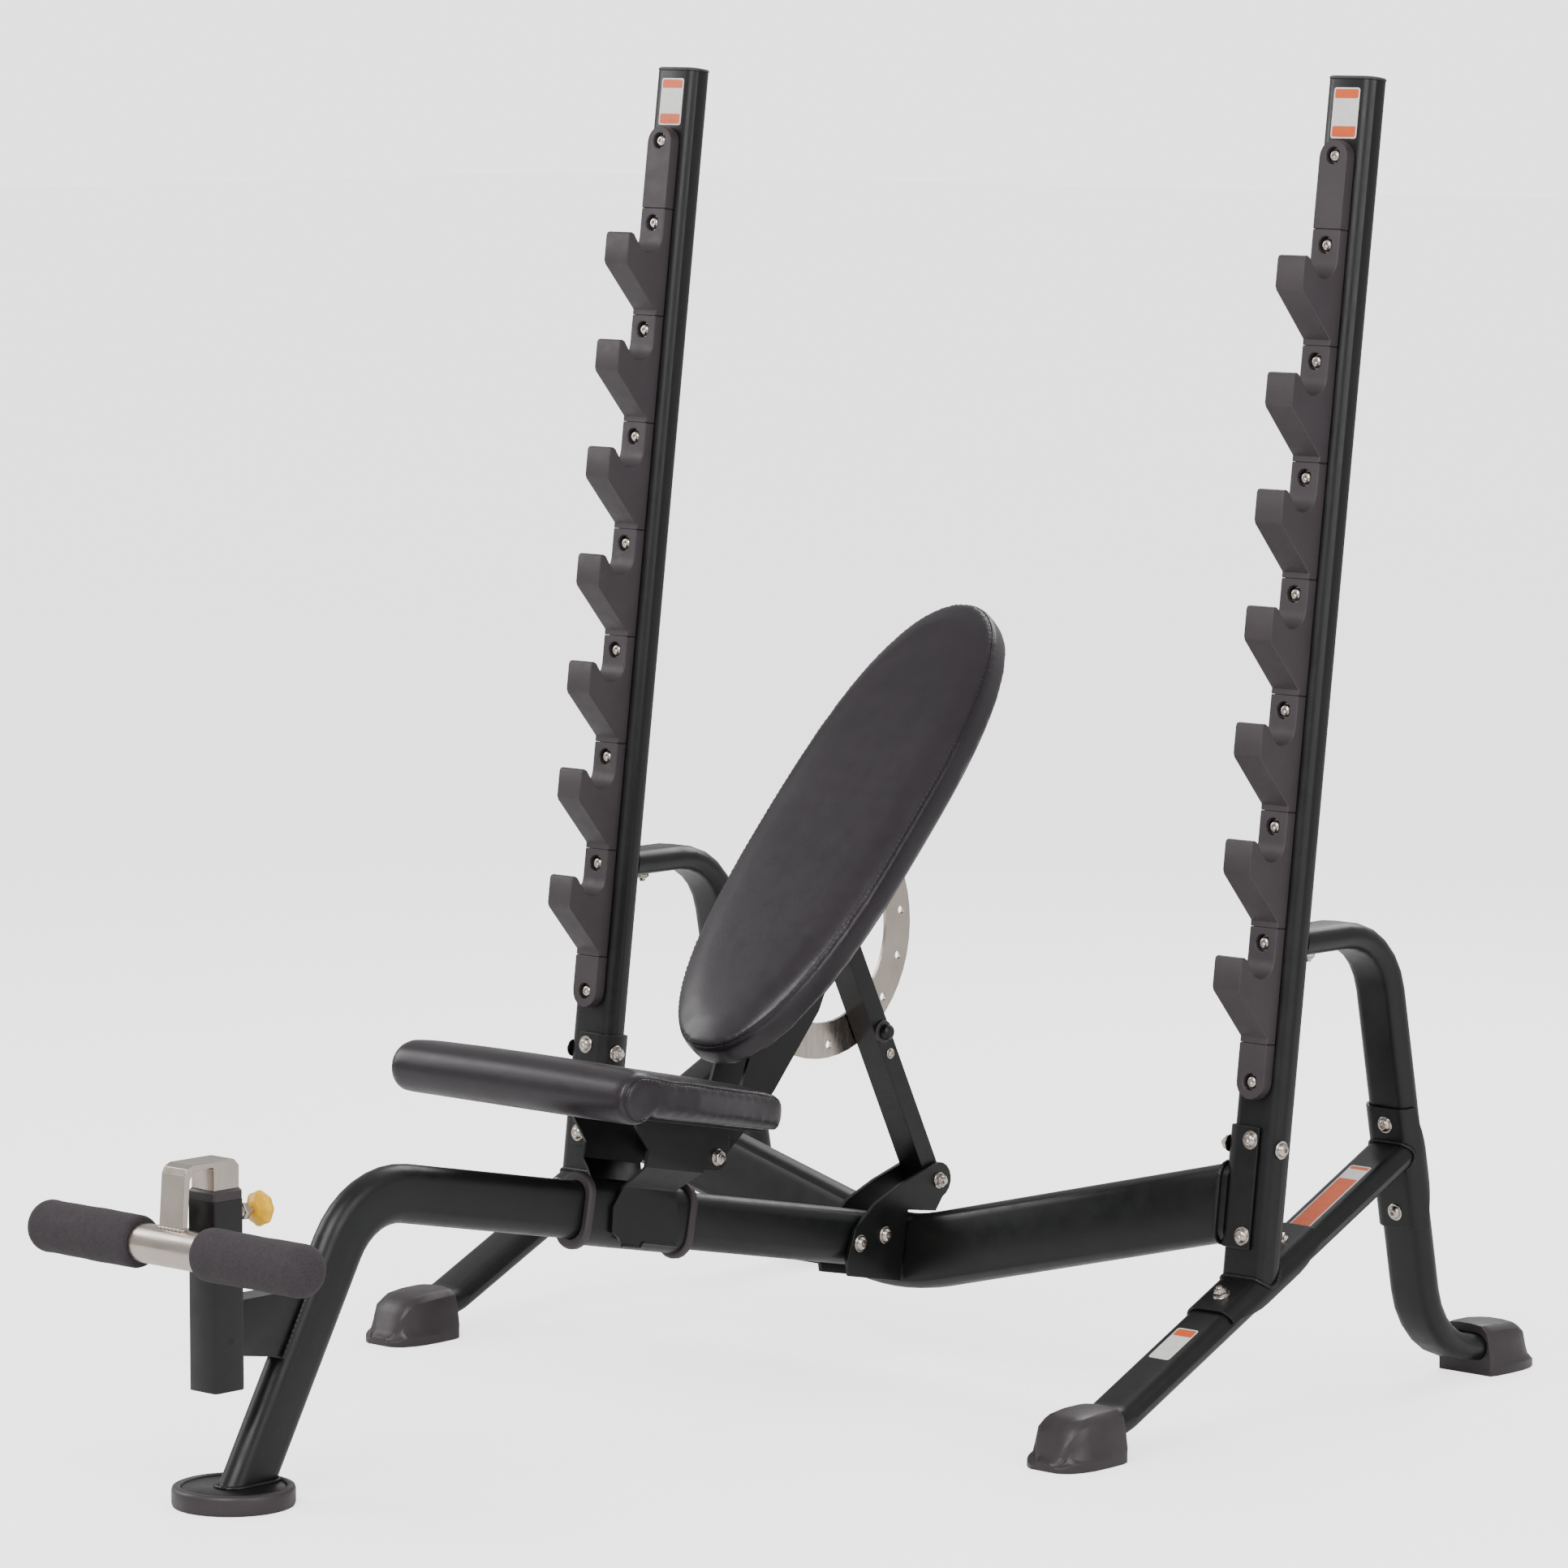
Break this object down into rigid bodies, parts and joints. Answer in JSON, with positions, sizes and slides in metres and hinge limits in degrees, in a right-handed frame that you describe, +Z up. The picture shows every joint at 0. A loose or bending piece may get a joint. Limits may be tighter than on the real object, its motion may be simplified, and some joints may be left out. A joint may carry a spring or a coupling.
{
  "type": "adjustable barbell bench press",
  "caption": "Free-standing weight bench with leaning hooked bar racks, a reclining back pad on a sliding seat carriage, and a roller leg hold-down.",
  "frame": {"origin": "centre of the footprint box, on the floor", "axes": "+X across the bench towards the right-hand upright seen from the foot end, +Y from the foot end towards the rear feet, +Z up"},
  "size_m": [1.265, 1.87, 1.6876],
  "materials": {
    "frame_black": "fine-textured satin powder coat",
    "rack_plastic": "fine matte moulding",
    "boot_rubber": "matte",
    "nickel": "satin nickel plate",
    "pad_vinyl": "semi-gloss upholstery vinyl",
    "roller_foam": "matte closed-cell foam skin",
    "knob_yellow": "gloss"
  },
  "bodies": {
    "frame": {"upright_left": "frame_black", "upright_cap_left": "rack_plastic", "side_rail_left": "frame_black", "rear_leg_left": "frame_black", "front_boot_left": "boot_rubber", "rear_boot_left": "boot_rubber", "cross_bracket_left": "frame_black", "gusset_left": "frame_black", "rack_top_left": "rack_plastic", "rack_bottom_left": "rack_plastic", "rack_hook_left_1": "rack_plastic", "rack_hook_left_2": "rack_plastic", "rack_hook_left_3": "rack_plastic", "rack_hook_left_4": "rack_plastic", "rack_hook_left_5": "rack_plastic", "rack_hook_left_6": "rack_plastic", "rack_hook_left_7": "rack_plastic", "upright_right": "frame_black", "upright_cap_right": "rack_plastic", "side_rail_right": "frame_black", "rear_leg_right": "frame_black", "front_boot_right": "boot_rubber", "rear_boot_right": "boot_rubber", "cross_bracket_right": "frame_black", "gusset_right": "frame_black", "rack_top_right": "rack_plastic", "rack_bottom_right": "rack_plastic", "rack_hook_right_1": "rack_plastic", "rack_hook_right_2": "rack_plastic", "rack_hook_right_3": "rack_plastic", "rack_hook_right_4": "rack_plastic", "rack_hook_right_5": "rack_plastic", "rack_hook_right_6": "rack_plastic", "rack_hook_right_7": "rack_plastic", "crossmember": "frame_black", "main_beam": "frame_black", "front_foot": "boot_rubber", "hold_down_post": "frame_black", "post_collar": "boot_rubber", "pivot_bolt_a": "nickel"},
    "link": {"link_arm": "frame_black"},
    "lock_pin": {"lock_pin": "frame_black"},
    "backrest": {"back_ear_left": "frame_black", "back_ear_right": "frame_black", "back_frame": "frame_black", "quadrant_plate": "nickel", "back_pad": "pad_vinyl", "pivot_bolt_b": "nickel"},
    "carriage": {"carriage_sleeve": "frame_black", "collar_rear": "rack_plastic", "collar_front": "rack_plastic", "carriage_plate_left": "frame_black", "carriage_plate_right": "frame_black", "seat_pad": "pad_vinyl", "pivot_bolt_c": "nickel"},
    "hold_down": {"hold_down_stem": "nickel", "roller_axle": "nickel"},
    "roller_left": {"foam_roller_left": "roller_foam"},
    "roller_right": {"foam_roller_right": "roller_foam"},
    "leg_pin": {"leg_pin": "knob_yellow"}
  },
  "joints": [
    {"name": "link_pivot", "type": "hinge", "parent": "frame", "child": "link", "pos_m": [0, 0.4192, 0.2402], "axis": [-1, 0, 0], "range_deg": [-46.5, 23.25]},
    {"name": "backrest_pivot", "type": "hinge", "parent": "link", "child": "backrest", "pos_m": [0, 0.25097, 0.5806], "axis": [-1, 0, 0], "range_deg": [-46.5, 93]},
    {"name": "carriage_pivot", "type": "hinge", "parent": "backrest", "child": "carriage", "pos_m": [0, -0.03429, 0.32999], "axis": [-1, 0, 0], "range_deg": [-46.5, 23.25]},
    {"name": "lock_pin_pull", "type": "slide", "parent": "link", "child": "lock_pin", "axis": [1, 0, 0], "range_m": [0, 0.012], "stiffness_N_per_m": 600, "springref_m": -0.01},
    {"name": "hold_down_slide", "type": "slide", "parent": "frame", "child": "hold_down", "axis": [0, 0, 1], "range_m": [0, 0.12]},
    {"name": "leg_pin_pull", "type": "slide", "parent": "frame", "child": "leg_pin", "axis": [0, 1, 0], "range_m": [0, 0.01], "stiffness_N_per_m": 600, "springref_m": -0.01},
    {"name": "roller_left_spin", "type": "hinge", "parent": "hold_down", "child": "roller_left", "pos_m": [-0.1485, -0.903, 0.322], "axis": [1, 0, 0], "continuous": true},
    {"name": "roller_right_spin", "type": "hinge", "parent": "hold_down", "child": "roller_right", "pos_m": [0.1485, -0.903, 0.322], "axis": [1, 0, 0], "continuous": true}
  ],
  "couplings": [
    {"joint": "backrest_pivot", "follows": "link_pivot", "ratio": -2},
    {"joint": "carriage_pivot", "follows": "link_pivot", "ratio": 1}
  ]
}
